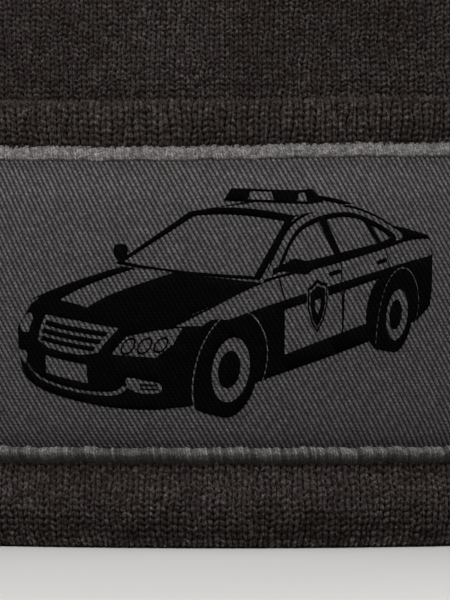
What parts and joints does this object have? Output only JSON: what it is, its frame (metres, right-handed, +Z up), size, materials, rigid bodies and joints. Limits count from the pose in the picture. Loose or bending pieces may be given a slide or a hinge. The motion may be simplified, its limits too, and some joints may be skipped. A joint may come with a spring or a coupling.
{
  "type": "knitted cuffed beanie with twill patch",
  "caption": "Knitted two-layer beanie with a turned-up cuff, a domed crown closed by dart seams, and a twill patch with a wrapped edge on the front of the cuff.",
  "frame": {"origin": "middle of the brim's opening, on the surface that the hat stands on", "axes": "+Z up through the crown, -Y towards the front with the patch, +X to the wearer's left, across the wide side of the brim"},
  "size_m": [0.184, 0.1466, 0.2071],
  "materials": {
    "crown_knit": "dark charcoal acrylic stockinette, matt and slightly hairy",
    "lining_knit": "dark charcoal acrylic stockinette, matt",
    "cuff_knit": "dark charcoal acrylic stockinette, matt and slightly hairy",
    "seam_thread": "dark charcoal linking yarn",
    "patch_backing": "dark woven interlining",
    "patch_twill": "mid-grey cotton-polyester twill with a matt black print",
    "patch_border_thread": "light grey polyester overlock thread with a slight sheen"
  },
  "bodies": {
    "root": {"crown_wall": "crown_knit", "crown_outer": "crown_knit", "crown_gore_front_right": "crown_knit", "crown_gore_back_right": "crown_knit", "crown_gore_back_left": "crown_knit", "crown_gore_front_left": "crown_knit", "crown_lining": "lining_knit", "brim_fold": "cuff_knit", "cuff_band": "cuff_knit", "crown_seam_front": "seam_thread", "crown_seam_right": "seam_thread", "crown_seam_back": "seam_thread", "crown_seam_left": "seam_thread", "crown_knot": "seam_thread", "lining_knot": "seam_thread", "patch_backing": "patch_backing", "patch_twill": "patch_twill", "patch_border": "patch_border_thread"}
  },
  "joints": []
}
